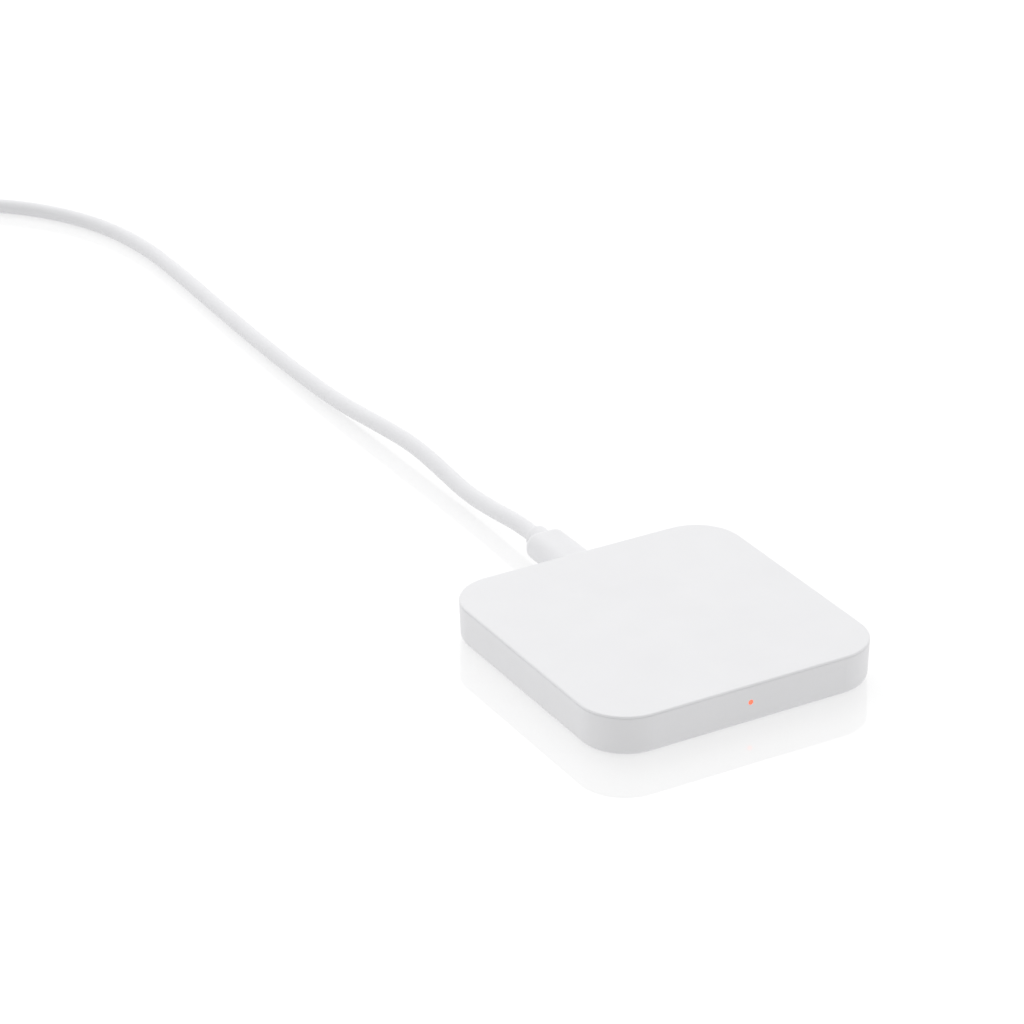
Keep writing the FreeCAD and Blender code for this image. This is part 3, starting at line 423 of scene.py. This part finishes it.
def smooth(amount):
    """Rises from 0 to 1 with a soft start and a soft end."""
    amount = min(1.0, max(0.0, amount))
    return amount * amount * (3 - 2 * amount)


def coil_points():
    """Turns that wind inward on the floor, climb, and wind outward on top of themselves."""
    centre = Vector(RING_CENTRE[:2])
    start = Vector(CORD_ROUTE[-1][:2]) * MM - centre
    end = Vector(TAIL_ROUTE[0][:2]) * MM - centre
    first = math.degrees(math.atan2(start.y, start.x))
    last = math.degrees(math.atan2(end.y, end.x)) % 360
    total = (last - first) + 360 * WHOLE_TURNS
    half_ring = (RING_HIGH[0] - RING_LOW[0]) / 2
    outer = half_ring - CORD_DIAMETER / 2
    inner = outer - 2 * CORD_DIAMETER - TURN_GAP
    low = RING_LOW[2] + CORD_DIAMETER / 2
    high = RING_HIGH[2] - CORD_DIAMETER / 2
    step = 360 / POINTS_PER_TURN
    count = round(total / step)
    # The smooth line runs a little inside its points, so these stand outside it by as much.
    outside = 1 / (0.75 + 0.25 * math.cos(math.radians(step)))
    points = []
    for k in range(1, count):
        travel = total * k / count
        inward = 1 - abs(1 - 2 * travel / total)
        radius = (outer + (inner - outer) * inward) * outside
        climb = smooth((travel - total / 2 + CLIMB_DEGREES / 2) / CLIMB_DEGREES)
        angle = math.radians(first + travel)
        flat = centre + radius * Vector((math.cos(angle), math.sin(angle)))
        points.append((flat.x, flat.y, low + (high - low) * climb))
    return points


def make_cord(material):
    """The whole cord from plug to plug, one smooth line of its real length."""
    near = [tuple(c * MM for c in spot) for spot in CORD_ROUTE]
    far = [tuple(c * MM for c in spot) for spot in TAIL_ROUTE]
    points = near + coil_points() + far
    curve = bpy.data.curves.new("cord_line", "CURVE")
    curve.dimensions = "3D"
    spline = curve.splines.new("NURBS")
    spline.points.add(len(points) - 1)
    for point, spot in zip(spline.points, points):
        point.co = (*spot, 1)
    spline.order_u = 3
    spline.use_endpoint_u = True
    spline.resolution_u = 8
    curve.bevel_depth = CORD_DIAMETER / 2
    curve.bevel_resolution = 8
    curve.use_fill_caps = True
    cord = bpy.data.objects.new("cord_whole", curve)
    curve.materials.append(material)
    bpy.context.collection.objects.link(cord)
    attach(cord, "cable")
    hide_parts("cord", "cord_tail", "cord_coil")
    return cord


# ---------------------------------------------------------------- floor and light

def make_floor():
    """A large level sheet under the object."""
    mesh = bpy.data.meshes.new("floor")
    outline = ((-1, -1), (1, -1), (1, 1), (-1, 1))
    corners = [(x * FLOOR_HALF, y * FLOOR_HALF, 0) for x, y in outline]
    mesh.from_pydata(corners, [], [(0, 1, 2, 3)])
    floor = bpy.data.objects.new("floor", mesh)
    bpy.context.collection.objects.link(floor)
    mesh.materials.append(polished_sheet("floor_acrylic"))


def make_softbox():
    """A large rectangular light high behind the object, facing it."""
    data = bpy.data.lights.new("back_softbox", "AREA")
    data.shape = "RECTANGLE"
    data.size = SOFTBOX_WIDTH
    data.size_y = SOFTBOX_HEIGHT
    data.energy = SOFTBOX_POWER
    light = bpy.data.objects.new("back_softbox", data)
    light.location = SOFTBOX_SPOT
    light.rotation_euler = (-Vector(SOFTBOX_SPOT)).to_track_quat("-Z", "Y").to_euler()
    bpy.context.collection.objects.link(light)


def make_room():
    """A white light tent round the object, dimmer overhead and towards its open front."""
    world = bpy.data.worlds.new("room")
    world.use_nodes = True
    tree = world.node_tree
    background = tree.nodes["Background"]
    coordinates = tree.nodes.new("ShaderNodeTexCoord")
    heading = math.radians(ROOM_OPENING_AZIMUTH)
    towards_front = (math.sin(heading), -math.cos(heading), 0)
    changes = (
        ("Strength", towards_front, ROOM_OPENING_EDGE, ROOM_WALLS, ROOM_OPENING),
        ("Color", (0, 0, 1), 0, 1, ROOM_CEILING / ROOM_WALLS),
    )
    for socket, direction, start, low, high in changes:
        along = tree.nodes.new("ShaderNodeVectorMath")
        along.operation = "DOT_PRODUCT"
        along.inputs[1].default_value = direction
        level = tree.nodes.new("ShaderNodeMapRange")
        level.interpolation_type = "SMOOTHSTEP"
        level.inputs["From Min"].default_value = start
        level.inputs["To Min"].default_value = low
        level.inputs["To Max"].default_value = high
        tree.links.new(coordinates.outputs["Generated"], along.inputs[0])
        tree.links.new(along.outputs["Value"], level.inputs["Value"])
        tree.links.new(level.outputs["Result"], background.inputs[socket])
    bpy.context.scene.world = world


def make_light():
    """The tent's glow and the softbox, with colours shown as they are."""
    make_room()
    make_softbox()
    view = bpy.context.scene.view_settings
    view.view_transform = "Standard"
    view.look = "None"


# ---------------------------------------------------------------- the whole scene

make_camera()
materials = dress_cad_nodes()
cord = make_cord(materials["white_cord"])
make_floor()
make_light()
